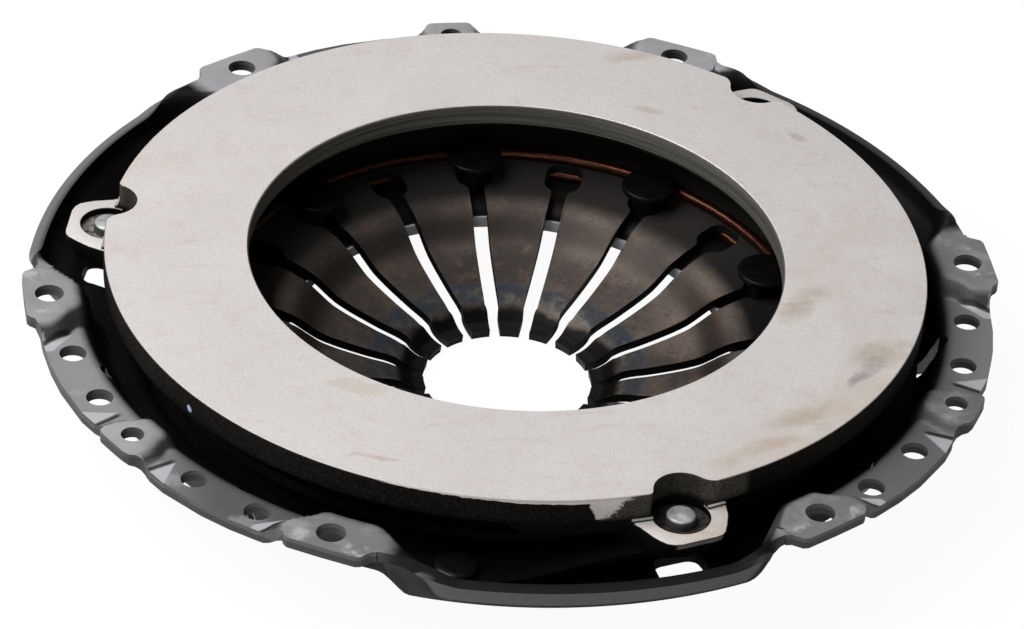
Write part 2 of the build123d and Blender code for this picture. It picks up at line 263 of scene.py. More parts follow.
def eased_edges(target, width, angle, segments=2):
    """Rounds every edge that turns by more than the angle."""
    bevel = target.modifiers.new("edges", "BEVEL")
    bevel.width = width * MM
    bevel.segments = segments
    bevel.limit_method = "ANGLE"
    bevel.angle_limit = radians(angle)
    bevel.use_clamp_overlap = True


def finished(target, tools=(), *, crease):
    """Keeps the shape the modifiers make, smooth up to the crease, and clears the tools away."""
    evaluated = target.evaluated_get(bpy.context.evaluated_depsgraph_get())
    mesh = bpy.data.meshes.new_from_object(evaluated)
    target.modifiers.clear()
    target.data = mesh
    mesh.shade_smooth()
    mesh.set_sharp_from_angle(angle=radians(crease))
    for tool in tools:
        bpy.data.objects.remove(tool)
    return target


class Reading:
    """A number read off a surface, so that patterns are written as ordinary sums."""

    def __init__(self, finish, socket):
        self.finish = finish
        self.socket = socket

    def __add__(self, other):
        return self.finish.sum("ADD", self, other)

    def __sub__(self, other):
        return self.finish.sum("SUBTRACT", self, other)

    def __rsub__(self, other):
        return self.finish.sum("SUBTRACT", other, self)

    def __mul__(self, other):
        return self.finish.sum("MULTIPLY", self, other)

    def __truediv__(self, other):
        return self.finish.sum("DIVIDE", self, other)

    __radd__ = __add__
    __rmul__ = __mul__

    def unsigned(self):
        return self.finish.sum("ABSOLUTE", self)

    def most(self, other):
        return self.finish.sum("MAXIMUM", self, other)

    def step(self, low, high):
        """0 below low, 1 above high, and eased between."""
        settings = {"interpolation_type": "SMOOTHSTEP"}
        return self.finish.node("ShaderNodeMapRange", settings, {0: self, 1: low, 2: high})

    def band(self, low, high, soft):
        """1 between low and high, and 0 outside."""
        return self.step(low - soft, low + soft) * (1 - self.step(high - soft, high + soft))


class Finish:
    """One material, built up node by node."""

    def __init__(self, name):
        self.material = bpy.data.materials.new(name)
        self.material.use_nodes = True
        self.tree = self.material.node_tree
        self.shader = self.tree.nodes["Principled BSDF"]
        self.place = self.node("ShaderNodeTexCoord", out="Object")
        self.x = self.node("ShaderNodeSeparateXYZ", {}, {0: self.place}, out=0)
        self.y = Reading(self, self.x.socket.node.outputs[1])
        self.z = Reading(self, self.x.socket.node.outputs[2])
        self.radius = self.sum("SQRT", self.x * self.x + self.y * self.y)

    def node(self, kind, settings=None, links=None, out=0):
        """One node, with its settings and what goes into it; gives the reading it makes."""
        made = self.tree.nodes.new(kind)
        for name, value in (settings or {}).items():
            setattr(made, name, value)
        for key, value in (links or {}).items():
            if isinstance(value, Reading):
                self.tree.links.new(value.socket, made.inputs[key])
            else:
                made.inputs[key].default_value = value
        return Reading(self, made.outputs[out])

    def sum(self, operation, *terms):
        return self.node("ShaderNodeMath", {"operation": operation}, dict(enumerate(terms)))

    def noise(self, scale, detail=4.0, roughness=0.6, place=None, distortion=0.0):
        return self.node("ShaderNodeTexNoise", {}, {
            "Vector": place or self.place, "Scale": scale, "Detail": detail,
            "Roughness": roughness, "Distortion": distortion})

    def stretched(self, x, y, z):
        return self.node("ShaderNodeMapping", {}, {"Vector": self.place, "Scale": (x, y, z)})

    def mixed(self, first, second, share):
        """The first colour, gone over to the second by a share."""
        def colour(value):
            return value if isinstance(value, Reading) else (*value, 1)
        return self.node("ShaderNodeMix", {"data_type": "RGBA"}, {
            0: share, 6: colour(first), 7: colour(second)}, out=2)

    def normal_z(self):
        """How far the surface faces along the clutch's axis, from -1 to 1."""
        facing = self.node("ShaderNodeTexCoord", out="Normal")
        return self.node("ShaderNodeSeparateXYZ", {}, {0: facing}, out=2)

    def azimuth(self):
        """The angle about the clutch's axis, in radians."""
        return self.sum("ARCTAN2", self.y, self.x)

    def degrees_from(self, azimuth):
        """Signed degrees from the nearest of three like places, one of them at the azimuth."""
        onward = self.azimuth() * (180 / pi) + (360 + GROUP_STEP / 2 - azimuth)
        return self.sum("MODULO", onward, GROUP_STEP) - GROUP_STEP / 2

    def polar_place(self, around, outward):
        """A pattern that follows the turning: angle about the axis, and radius."""
        return self.node("ShaderNodeCombineXYZ", {}, {
            0: self.azimuth() * around, 1: self.radius * outward, 2: self.z * outward})

    def bump(self, height, depth):
        self.wire("Normal", self.node("ShaderNodeBump", {}, {
            "Strength": 1.0, "Distance": depth, "Height": height}))

    def wire(self, socket, value):
        target = self.shader.inputs[socket]
        if isinstance(value, Reading):
            self.tree.links.new(value.socket, target)
        else:
            target.default_value = (*value, 1) if isinstance(value, tuple) else value

    def on(self, target):
        target.data.materials.clear()
        target.data.materials.append(self.material)


# a flat blank is turned first, and each of its rings keeps its number as its radius; then every
# point goes to its place on the press form
FIRST_RING = 100
bm = bmesh.new()
turned(bm, [(FIRST_RING + i, 0) for i in range(len(pressed_line(0)))], TURNS)
columns = {}
for vert in bm.verts:
    azimuth = degrees(atan2(vert.co.y, vert.co.x))
    columns.setdefault(round(azimuth * TURNS / 360) % TURNS, []).append(vert)
for column, verts in columns.items():
    azimuth = column * 360 / TURNS
    form = pressed_line(group_angle(azimuth))
    for vert in verts:
        radius, height = form[round(vert.co.xy.length / MM - FIRST_RING)]
        x, y = polar(radius * MM, azimuth)
        vert.co = (x, y, height * MM)
bmesh.ops.recalc_face_normals(bm, faces=bm.faces)
cover = piece("cover_pressing", bm)
wall = cover.modifiers.new("sheet", "SOLIDIFY")
wall.thickness = SHEET * MM
wall.offset = 0
wall.use_even_offset = True

# the blanking die: ears square and proud, pads between them, a round dowel ear in the middle
half_outline = [
    (143.35, 1.0), (143.35, 2.2), (142.8, 2.8), (141.2, 3.2), (140.1, 3.7), (139.9, 4.4),
    (140.6, 5.5), (141.3, 8), (141.4, 14), (141.2, 18), (140.8, 21.8), (140.9, 23.9),
    (141.9, 25.0), (143.3, 25.45), (144.0, 26.0), (143.8, 30), (144.0, 34.0), (143.4, 34.6),
    (141.8, 35.0), (140.5, 35.35), (139.95, 35.7), (139.9, 36.3), (150, 36.35), (165, 38),
    (165, 60),
]
bm = bmesh.new()
outline = []
for middle in GROUP_MIDDLES:
    outline += [polar(r, middle - a) for r, a in reversed(half_outline[:-1])]
    outline += [polar(r, middle + a) for r, a in half_outline]
prism(bm, outline, -60, 20)
die = piece("blanking_die", bm)

# the punches: bolt, dowel and balance holes in the flange, air slots in the wall of each group,
# and a window in the floor under each lug
BOLT_CIRCLE, BOLT_SPREAD, BOLT_HOLE = 136.46, 30, 8.4
DOWEL_HOLE = 6.6
BALANCE_CIRCLE, BALANCE_SPREADS, BALANCE_HOLE = 133.6, (9.94, 19.61), 7.8
SLOT_SPREAD, SLOT_HALF_WIDTH, SLOT_INNER, SLOT_END = 15.5, 3.5, 120.3, 124.7
WINDOW, WINDOW_CORNER = [(115.5, 71.3), (128.5, 70.7), (128.5, 77.3), (115.5, 78.1)], 3.6
THROUGH_FLANGE, THROUGH_WALL, THROUGH_FLOOR = (-14, 6), (-30, 4), (-30, -12)
bm = bmesh.new()
for middle in GROUP_MIDDLES:
    punch(bm, BOLT_CIRCLE, middle, DOWEL_HOLE, *THROUGH_FLANGE)
    for side in (-1, 1):
        punch(bm, BOLT_CIRCLE, middle + side * BOLT_SPREAD, BOLT_HOLE, *THROUGH_FLANGE)
        for spread in BALANCE_SPREADS:
            punch(bm, BALANCE_CIRCLE, middle + side * spread, BALANCE_HOLE, *THROUGH_FLANGE)
        slot = [(SLOT_INNER, -SLOT_HALF_WIDTH)]
        slot += arc((SLOT_END, 0), SLOT_HALF_WIDTH, -90, 90, 14)
        slot += [(SLOT_INNER, SLOT_HALF_WIDTH)]
        verts = prism(bm, slot, *THROUGH_WALL)
        bmesh.ops.rotate(bm, verts=verts, cent=(0, 0, 0),
                         matrix=Matrix.Rotation(radians(middle + side * SLOT_SPREAD), 3, "Z"))
    window = prism(bm, [polar(r, middle + a) for r, a in WINDOW], *THROUGH_FLOOR)
    soft_uprights(bm, window, WINDOW_CORNER)
punches = piece("punches", bm)
cut(cover, die, "INTERSECT")
cut(cover, punches)
eased_edges(cover, 0.35, 50)
finished(cover, [die, punches], crease=40)

steel = Finish("pressed cover steel")
turn = steel.degrees_from(GROUP_MIDDLES[0]).unsigned()
reach = steel.radius * 1000
facing_up = steel.normal_z()
cloud = steel.noise(34, 4, 0.5).step(0.30, 0.72)
grain = steel.noise(900, 5, 0.6)
scuff = steel.noise(150, 5, 0.6).step(0.48, 0.62)
# painted shade: the flange's grey fades to dark over its roll down to the wall
flange = reach.step(126.0, 130.4) * (1 - turn.step(36.0, 38.6)) * steel.z.step(-0.012, -0.0085)
dowel_ear = 1 - turn.step(3.6, 4.8)
ear = dowel_ear.most(turn.step(23.8, 25.2))
# painted shade: only the up-facing flange is painted bare grey, its slopes keep a dark grey
flat = flange * facing_up.step(0.80, 0.97)
# the pads are coined, which leaves a bright wedge of bare metal where each one ends, also painted
# brighter as a painted highlight on its lit facet; beyond it a dark crease is painted as painted
# shadow between the pad's end and the ear
dowel_side = 6.1 - (reach - 132.4) * 0.07
bolt_side = 21.8 + (140.3 - reach) * 0.2
wedge_in = turn.step(dowel_side - 0.08, dowel_side + 0.08)
wedge_in = wedge_in * (1 - (turn - (reach - 132.4) * 0.233).step(5.95, 6.25))
wedge_out = (turn - ((138.8 - reach) * 0.4).most(0)).step(20.5, 20.8)
wedge_out = wedge_out * (1 - turn.step(bolt_side - 0.08, bolt_side + 0.08))
wedge = wedge_in.most(wedge_out) * flange * reach.step(131.6, 132.8)
crease = turn.band(dowel_side - 0.75, dowel_side - 0.15, 0.1)
crease = crease.most(turn.band(bolt_side + 0.15, bolt_side + 0.75, 0.1))
crease = crease * reach.step(131.0, 133.5) * flange
# brighter patches at the ear corners beside the bolt holes, broken up by the scuff noise
bright_ear_corner = turn.band(25.9, 27.8, 0.6).most(turn.band(32.4, 34.8, 0.6))
bright_ear_corner = bright_ear_corner * reach.step(136.5, 139.0)
# painted light: the share of the clutch's left side, where the grey is painted brighter and the
# sheared edges darker
left_lighting = 1 - steel.x.step(-0.125, -0.095)
# painted light: the ears at the back are painted a lighter grey
back_ear_light = steel.y.step(0.05, 0.11)
# the phosphated steel is black; the low rim is painted grey as painted light, lighter at the back
# and most at the back left, lighter towards its outer edge and on its outer side, with a painted
# highlight along its rounded edge
dark = steel.mixed((0.002, 0.002, 0.002), (0.006, 0.006, 0.006), cloud)
gap_rim = turn.step(36.5, 39.5)
rear = steel.y.step(-0.03, 0.03)
rim_shade = steel.mixed((0.008, 0.008, 0.009), (0.050, 0.050, 0.051), rear)
rear_left = rear * (1 - steel.x.step(-0.10, 0.02))
rim_shade = steel.mixed(rim_shade, (0.150, 0.148, 0.150), rear_left)
rim_top = gap_rim * reach.step(138.6, 141.8) * facing_up.step(0.4, 0.9)
dark = steel.mixed(dark, rim_shade, rim_top)
rim_side = gap_rim * reach.step(141.2, 141.8)
dark = steel.mixed(dark, (0.070, 0.069, 0.069), rim_side * (1 - facing_up.step(0.4, 0.7)))
# painted highlight along the rim's rounded edge
edge_line = rim_side * facing_up.band(0.45, 0.85, 0.1)
dark = steel.mixed(dark, (0.20, 0.195, 0.195), edge_line * cloud * 0.7)
lip = 1 - reach.step(66.6, 67.2)
dark = steel.mixed(dark, (0.34, 0.34, 0.35), lip)
# the walls that the slot punch leaves are bare steel, painted far lighter than the other sheared
# edges as painted light
from_slot = ((turn - SLOT_SPREAD) * reach * (pi / 180)).unsigned()
slot_wall = from_slot.band(SLOT_HALF_WIDTH - 0.15, SLOT_HALF_WIDTH + 0.15, 0.05)
slot_wall = slot_wall * reach.band(119.8, 128.8, 0.4)
dark = steel.mixed(dark, (0.40, 0.40, 0.41), slot_wall * (1 - facing_up.step(0.3, 0.6)) * 0.8)
# the flange is rubbed to grey steel; its grey is painted brighter on the left side of the clutch
# and on the back ears, and darker between, as painted light
pad = steel.mixed((0.090, 0.089, 0.091), (0.130, 0.128, 0.131), steel.x.step(-0.03, 0.06))
pad = steel.mixed(pad, (0.190, 0.187, 0.191), steel.x.step(0.105, 0.130))
pad = steel.mixed(pad, (0.255, 0.252, 0.258), left_lighting)
eared = steel.mixed((0.180, 0.178, 0.182), (0.280, 0.277, 0.282), left_lighting)
eared = steel.mixed(eared, (0.125, 0.123, 0.126), dowel_ear * (1 - left_lighting) * 0.8)
eared = steel.mixed(eared, (0.36, 0.355, 0.362), dowel_ear * left_lighting)
eared = steel.mixed(eared, (0.33, 0.325, 0.335), back_ear_light)
bare = steel.mixed(pad, eared, ear)
bare = steel.mixed(bare, (0.10, 0.10, 0.102), cloud * 0.25)
colour = steel.mixed(dark, (0.040, 0.039, 0.040), flange)
colour = steel.mixed(colour, bare, flat)
scraped = (scuff * ear * 0.20).most(bright_ear_corner * scuff * 0.8)
scraped = scraped.most(steel.noise(60, 5, 0.6).step(0.58, 0.66) * reach.step(133.5, 137.0) * 0.35)
colour = steel.mixed(colour, (0.40, 0.395, 0.41), scraped * flat)
colour = steel.mixed(colour, (0.45, 0.44, 0.47), wedge * 0.8)
# painted shadow in the crease between each pad's end and its ear
colour = steel.mixed(colour, (0.006, 0.006, 0.006), crease * 0.85)
# sheared edges: a bright burnished band over a darker torn one
edge_top = EAR_TOP * MM + PAD_TOP * MM * (1 - ear) + DOWEL_TOP * MM * dowel_ear
depth = (edge_top - steel.z) * 1000
sheared = (1 - facing_up.step(0.25, 0.5)) * reach.step(128.5, 129.5)
sheared = sheared.most((1 - facing_up.step(0.50, 0.85)) * reach.step(138.8, 139.4))
sheared = sheared * (1 - turn.step(35.6, 37))
torn = depth.step(1.2, 1.6)
# painted shade: on the left side of the clutch the burnished band is painted darker
burnished = steel.mixed((0.080, 0.080, 0.079), (0.060, 0.060, 0.060), left_lighting)
colour = steel.mixed(colour, burnished, sheared * (1 - torn))
colour = steel.mixed(colour, (0.042, 0.042, 0.040), sheared * torn)
rust = steel.noise(420, 3, 0.6).step(0.62, 0.68) * rim_side * facing_up.band(0.3, 0.9, 0.1)
colour = steel.mixed(colour, (0.26, 0.14, 0.06), rust * 0.7)
steel.wire("Base Color", colour)
steel.wire("Metallic", 0.2)
steel.wire("Specular IOR Level", 0.15)
steel.wire("Roughness", 0.46 + grain * 0.10 - flat * 0.04)
steel.bump(grain * 0.5 + steel.noise(160, 4) * 0.8, 0.00004)
steel.on(cover)
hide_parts("cover")
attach(cover, "cover_assembly")

# ---------------------------------------------------------------------------
# Pressure plate. A grey iron casting: a friction ring turned on its face, bore and part of its
# rim, with three lugs that reach out past the rim to carry the straps. Each lug's face is milled,
# and the pocket over its rivet breaks out of the ring's edge.
FACE = 9.4
LUG_AZIMUTH = 73.8
LUG_REACH = 121.4
LUG_ROOT = 112.0
LUG_TOP, LUG_FOOT = 0.7, -6.6
FOOT_DRAFT = 0.85
ring_line = [
    (79.0, FACE), (120.2, FACE), (120.5, FACE - 0.3), (120.5, 1.6), (120.0, 0.9), (117.5, 0.6),
    (113.6, 0.6), (109.3, -7.8), (108.0, -9.9), (106.8, -10.75), (105.5, -10.85), (104.1, -10.2),
    (101.8, -7.6), (99.5, -0.6), (96.0, 0.6), (80.2, 0.6), (79.4, 1.3), (79.3, 2.5), (78.5, 2.9),
    (78.5, FACE - 0.5), (79.0, FACE),
]
bm = bmesh.new()
turned(bm, ring_line, 288)
plate = piece("friction_plate", bm)

bm = bmesh.new()
lug_outline = [
    (LUG_ROOT, 65.0), (119.9, 65.6), (121.2, 66.9), (123.5, 67.7), (126.2, 68.3), (128.4, 68.75),
    (130.6, 69.35), (132.4, 70.0), (133.4, 70.8), (133.8, 71.8), (133.5, 74.0), (133.5, 76.2),
    (133.2, 77.1), (132.2, 77.8), (129.0, 78.8), (125.5, 79.8), (121.8, 80.5), (119.6, 81.0),
    (LUG_ROOT, 81.2),
]
for middle in GROUP_MIDDLES:
    corners = prism(bm, [polar(r, middle + a) for r, a in lug_outline], LUG_FOOT, LUG_TOP)
    for vert in corners:
        if vert.co.z < 0:
            out = vert.co.xy.length / MM
            vert.co.xy *= min(out, LUG_ROOT + (out - LUG_ROOT) * FOOT_DRAFT) / out
lugs = piece("lugs", bm)
eased_edges(lugs, 0.9, 30, 3)
# the iron beside each lug is deeper on the side the strap runs, and shallows to nothing
BEAM_INNER, BEAM_OUTER = 113.4, 120.42
BEAM_FOOT, BEAM_TOP, BEAM_RUN_OUT = -2.7, 3.0, 2.9
beam = [(BEAM_INNER, 51.0), (119.9, 50.4)]
beam += [(BEAM_OUTER, angle) for angle in (53, 57, 61, 65, 69, 73)]
beam += [(BEAM_INNER, angle) for angle in (73, 66, 60, 55)]
bm = bmesh.new()
for middle in GROUP_MIDDLES:
    corners = prism(bm, [polar(r, middle + a) for r, a in beam], BEAM_FOOT, BEAM_TOP)
    for vert in corners:
        if vert.co.z < 0:
            past_middle = group_angle(degrees(atan2(vert.co.y, vert.co.x)) - 60) + 60
            vert.co.z += BEAM_RUN_OUT * MM * (1 - eased(past_middle, 50, 53.5))
beams = piece("beams", bm)
eased_edges(beams, 0.5, 30, 2)

# the pocket's mill, with the ring's edge just eased on one side and rolled over on the other
POCKET_ACROSS, POCKET_FLOOR = 16.8, -1.6
RIVET_HOLE = 8.7
pocket = arc((-3.31, -9.86), 2.0, -4.8, 71.4, 6)
pocket += arc((0, 0), POCKET_ACROSS / 2, -108.6, -239.6, 24)[1:]
pocket += arc((-7.03, 11.99), 5.5, -59.6, 6.0, 10)[1:]
pocket += [(2.0, 16.0), (14.0, 16.0), (14.0, -14.0), (2.0, -14.0)]
bm = bmesh.new()
for middle in GROUP_MIDDLES:
    spot = Matrix.Rotation(radians(middle + LUG_AZIMUTH), 4, "Z")
    spot = spot @ Matrix.Translation((LUG_REACH * MM, 0, 0))
    verts = prism(bm, pocket, LUG_TOP + 0.02, 14)
    bmesh.ops.transform(bm, matrix=spot, verts=verts)
mills = piece("pocket_mills", bm)
# a low step is left at each side, where the lug's milled face meets the ring
bm = bmesh.new()
for middle in GROUP_MIDDLES:
    for start, end in ((66.8, 70.6), (77.0, 80.3)):
        step = [(119.0, start), (121.6, start + 0.2), (121.6, end), (119.0, end)]
        prism(bm, [polar(r, middle + a) for r, a in step], LUG_TOP - 1.0, LUG_TOP + 1.0)
steps = piece("milled_steps", bm)
bm = bmesh.new()
for middle in GROUP_MIDDLES:
    punch(bm, LUG_REACH, middle + LUG_AZIMUTH, POCKET_ACROSS, POCKET_FLOOR, 4, 64)
pockets = piece("pocket_drills", bm)
bm = bmesh.new()
for middle in GROUP_MIDDLES:
    punch(bm, LUG_REACH, middle + LUG_AZIMUTH, RIVET_HOLE, -9, 0.3)
drills = piece("rivet_drills", bm)
cut(plate, beams, "UNION")
cut(plate, lugs, "UNION")
cut(plate, mills)
cut(plate, steps, "UNION")
cut(plate, pockets)
cut(plate, drills)
eased_edges(plate, 0.25, 50)
finished(plate, [beams, lugs, mills, steps, pockets, drills], crease=20)

iron = Finish("cast and turned iron")
lug_turn = iron.degrees_from(GROUP_MIDDLES[0] + LUG_AZIMUTH)
ragged = iron.noise(330, 5, 0.7) - 0.5
pits = iron.noise(1500, 3, 0.7)
top_face = iron.z.step(0.00915, 0.0093)
bore_band = (1 - iron.radius.step(0.0788, 0.0790)) * iron.z.step(0.0028, 0.0030)
lug_side = lug_turn.band(-6.5, 6.9, 0.2)
milled = iron.z.band(0.0005, 0.0009, 0.00012) * iron.radius.step(0.1190, 0.1194) * lug_side
step_top = iron.z.band(0.0014, 0.0018, 0.0001) * iron.radius.step(0.12075, 0.12095)
rim_strip_side = iron.radius.band(0.1200, 0.1210, 0.0002)
# the rim is machined in a ragged patch before each lug and in a thin strip that runs on from it
below = FACE - iron.z * 1000
patch = (lug_turn - below * 0.2 + ragged * 1.4).step(-13.1, -12.8)
patch = patch * (1 - (lug_turn + below * 0.45 + ragged * 3.2 + (pits - 0.5) * 4).step(-7.4, -6.8))
patch = patch * (1 - (below + ragged * 2.0).step(6.6, 7.4))
strip_depth = lug_turn.step(-34, -14) * 0.9 + 0.35
strip = 1 - (below + ragged * 1.2).step(strip_depth, strip_depth + 0.15)
strip = strip * lug_turn.band(-40, -7.5, 1.5)
worked = top_face.most(milled).most(rim_strip_side * patch.most(strip))
facet = iron.radius.step(0.1316, 0.1320) * iron.z.band(-0.0016, 0.0002, 0.0002)
facet = facet * lug_turn.band(-2.6, 3.4, 0.2)
# turning marks run round the face, with rust-brown streaks, stains and fine dark pores over them
grooves = iron.noise(1.0, 3, 0.7, iron.polar_place(1.5, 2600))
fine = iron.noise(2300, 3, 0.8)
face = iron.mixed((0.595, 0.565, 0.548), (0.635, 0.608, 0.590), iron.noise(16, 4).step(0.3, 0.7))
streak = iron.noise(34, 5, 0.65, iron.stretched(0.8, 5.0, 1), 0.5).step(0.58, 0.72)
face = iron.mixed(face, (0.46, 0.33, 0.30), streak * 0.30)
stain = iron.noise(17, 5, 0.66, distortion=0.6).step(0.48, 0.78)
face = iron.mixed(face, (0.50, 0.41, 0.34), stain * 0.38)
face = iron.mixed(face, (0.50, 0.37, 0.35), iron.noise(130, 5, 0.7).step(0.50, 0.72) * 0.26)
damp_edge = (iron.x * 0.6 - iron.y * 0.8).step(0.098, 0.118)
damp_edge = damp_edge * iron.noise(40, 5, 0.65).step(0.34, 0.66)
face = iron.mixed(face, (0.50, 0.38, 0.27), damp_edge * 0.45)
drift_x = (iron.noise(36, 4, 0.6) - 0.5) * 18
elsewhere = iron.node("ShaderNodeMapping", {}, {"Vector": iron.place, "Location": (0.3, 0.1, 0.2)})
drift_y = (iron.noise(36, 4, 0.6, elsewhere) - 0.5) * 18
broken = iron.noise(90, 6, 0.75, elsewhere).step(0.22, 0.70)


def marked(x, y, across, along_mark, turned_by):
    """A soft, broken mark placed on the face, its sizes in mm."""
    side, ahead = cos(radians(turned_by)), sin(radians(turned_by))
    u = (iron.x * 1000 - x + drift_x) * side + (iron.y * 1000 - y + drift_y) * ahead
    v = (iron.y * 1000 - y + drift_y) * side - (iron.x * 1000 - x + drift_x) * ahead
    far = (u * u) / (along_mark * along_mark) + (v * v) / (across * across)
    return (1 - far.step(0.0, 1.6)) * broken


for x, y, across, length, turned_by, shade, amount in [
        (80, -33, 5.0, 12, 55, (0.40, 0.31, 0.22), 0.715),
        (97, -58, 6.0, 10, 20, (0.38, 0.30, 0.23), 0.715),
        (91, -66, 2.4, 8, 50, (0.25, 0.23, 0.22), 0.845),
        (68, -84, 4.5, 12, 20, (0.42, 0.32, 0.22), 0.585),
        (52, -101, 3.5, 16, 24, (0.44, 0.33, 0.23), 0.65),
        (52, 104, 4.0, 8, 5, (0.42, 0.30, 0.23), 0.52),
        (94, 57, 2.0, 4.0, -40, (0.38, 0.27, 0.22), 0.65),
        (53, 74, 1.8, 4.5, -15, (0.40, 0.31, 0.24), 0.585),
        (-55, -97, 1.4, 7.0, -5, (0.40, 0.26, 0.23), 0.65),
        (-56, -64, 3.5, 8.0, -15, (0.46, 0.36, 0.25), 0.52)]:
    face = iron.mixed(face, shade, marked(x, y, across, length, turned_by) * amount)
pores = iron.noise(1900, 2, 0.5).step(0.68, 0.75)
face = iron.mixed(face, (0.16, 0.15, 0.14), pores * 0.75)
face = iron.mixed(face, (0.30, 0.28, 0.27), fine.step(0.44, 0.66) * 0.30)
# the face is darker along its outer corner
edge_line = iron.radius.step(0.1201, 0.1203) * iron.z.step(0.0087, 0.0091)
face = iron.mixed(face, (0.26, 0.235, 0.215), edge_line * 0.7)
face = iron.mixed(face, (0.72, 0.69, 0.67), grooves.step(0.58, 0.8) * 0.22)
cast = iron.mixed((0.001, 0.0009, 0.0007), (0.022, 0.019, 0.015), pits.step(0.44, 0.80))
beside_lug = lug_turn.band(-11.0, 10.0, 0.6) * iron.z.step(0.0012, 0.0020)
beside_lug = beside_lug * (1 - lug_turn.band(-3.8, 3.8, 0.3) * 0.4)
cast = iron.mixed(cast, (0.085, 0.075, 0.060), beside_lug * (pits.step(0.28, 0.80) * 0.75 + 0.2))
# painted shade: the cast iron is painted darker towards the bottom of the ring
cast = iron.mixed(cast, (0.001, 0.001, 0.001), (1 - iron.z.step(0.0008, 0.0035)) * 0.9)
band_marks = iron.noise(1.0, 3, 0.7, iron.polar_place(1.2, 2400))
bored = iron.mixed((0.056, 0.053, 0.045), (0.150, 0.142, 0.124), band_marks.step(0.3, 0.7))
surface = iron.mixed(cast, bored, bore_band)
surface = iron.mixed(surface, (0.150, 0.125, 0.112), facet)
surface = iron.mixed(surface, (0.32, 0.31, 0.30), step_top)
pocket_floor = iron.z.band(-0.0018, -0.0014, 0.0001) * iron.noise(500, 4).step(0.25, 0.65)
pocket_floor = pocket_floor * iron.normal_z().step(0.80, 0.95)
surface = iron.mixed(surface, (0.045, 0.040, 0.034), pocket_floor)
# painted light: the pocket floor on the left lug is painted a light grey
surface = iron.mixed(surface, (0.20, 0.18, 0.17), pocket_floor * (1 - iron.x.step(-0.112, -0.09)))
# a dab of pale blue paint on the rim
off_x, off_y, off_z = iron.x * 1000 + 102.0, iron.y * 1000 + 64.1, iron.z * 1000 - 3.9
paint = off_x * off_x + off_y * off_y + off_z * off_z
dab = (1 - (paint + ragged * 3.0 + (pits - 0.5) * 3).step(0.9, 1.5)) * rim_strip_side
surface = iron.mixed(surface, (0.28, 0.36, 0.47), dab)
iron.wire("Base Color", iron.mixed(surface, face, worked))
iron.wire("Metallic", worked * 0.30 + bore_band * 0.3)
iron.wire("Specular IOR Level", 0.10)
iron.wire("Roughness", 0.66 - worked * 0.16 + grooves * 0.08)
iron.bump(pits * (1 - worked) * 1.0 + grooves * worked * 0.05 - pores * worked * 0.2, 0.00022)
iron.on(plate)
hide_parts("pressure_plate")
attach(plate, "pressure_plate")

# ---------------------------------------------------------------------------
# Diaphragm spring. One blank of 2.6 mm spring steel, slotted into eighteen fingers, pressed to
# its cone and tempered brown; the bent tips are hardened, which leaves a blue ring behind them.
SPRING_SHEET = 2.6
FINGERS = 18
spring_line = [
    (25.0, -36.62), (28.2, -36.2), (30.6, -35.0), (32.6, -33.4), (35.9, -32.1), (41.0, -31.0),
    (46.0, -29.6), (51.5, -27.9), (56.1, -26.1), (60.0, -23.4), (63.0, -21.2), (67.7, -19.0),
    (73.5, -17.35), (86.5, -14.8), (98, -12.53), (109.7, -10.22),
]
bm = bmesh.new()
turned(bm, rounded(spring_line, 1.6), 360)
for face in bm.faces:
    if face.normal.z < 0:
        face.normal_flip()
spring = piece("diaphragm_spring_blank", bm)
blank = spring.modifiers.new("blank", "SOLIDIFY")
blank.thickness = SPRING_SHEET * MM
blank.offset = -1
blank.use_even_offset = True
# a slot is narrow between the fingers and ends in a rounded eye at their roots
half_slot = [
    (20, 1.6), (31.2, 1.6), (32.4, 1.75), (33.6, 2.2), (60, 2.3), (73.0, 2.4), (74.4, 2.9),
    (75.2, 4.2), (76.4, 5.2), (78.0, 5.6), (82.0, 5.6), (84.2, 4.9), (85.4, 3.2),
]
bm = bmesh.new()
verts = prism(bm, half_slot + [(x, -y) for x, y in reversed(half_slot)], -50, -5)
bmesh.ops.rotate(bm, verts=verts, cent=(0, 0, 0),
                 matrix=Matrix.Rotation(radians(180 / FINGERS), 3, "Z"))
bmesh.ops.spin(bm, geom=bm.verts[:] + bm.edges[:] + bm.faces[:], cent=(0, 0, 0), axis=(0, 0, 1),
               dvec=(0, 0, 0), angle=radians(360 - 360 / FINGERS), steps=FINGERS - 1,
               use_merge=False, use_duplicate=True)
slots = piece("slot_punches", bm)
cut(spring, slots)
eased_edges(spring, 0.45, 50, 3)
finished(spring, [slots], crease=34)

temper = Finish("tempered spring steel")
mottle = temper.noise(120, 5, 0.65)
drift = temper.noise(30, 4, 0.6) - 0.5
across = temper.radius + drift * 0.005 + (mottle - 0.5) * 0.003
freckle = temper.noise(800, 4, 0.8)
browned = temper.noise(34, 5).step(0.35, 0.68)
straw = temper.mixed((0.070, 0.060, 0.054), (0.165, 0.132, 0.110), browned)
straw = temper.mixed(straw, (0.26, 0.175, 0.12), temper.noise(210, 5, 0.75).step(0.50, 0.72) * 0.55)
straw = temper.mixed(straw, (0.022, 0.019, 0.017), freckle.step(0.46, 0.70) * 0.5)
# painted shade: a dark band over the steeper part of the cone
straw = temper.mixed(straw, (0.022, 0.017, 0.014), temper.radius.band(0.0570, 0.0645, 0.003) * 0.85)
# painted shadow: the outer part of the spring, under the pressure plate, is painted near black
shadowed_outer = temper.radius.step(0.0665, 0.0725)
straw = temper.mixed(straw, (0.003, 0.003, 0.003), shadowed_outer)
# painted shadow: the back of the spring is painted darker
straw = temper.mixed(straw, (0.035, 0.030, 0.027), temper.y.step(-0.01, 0.05) * 0.40)
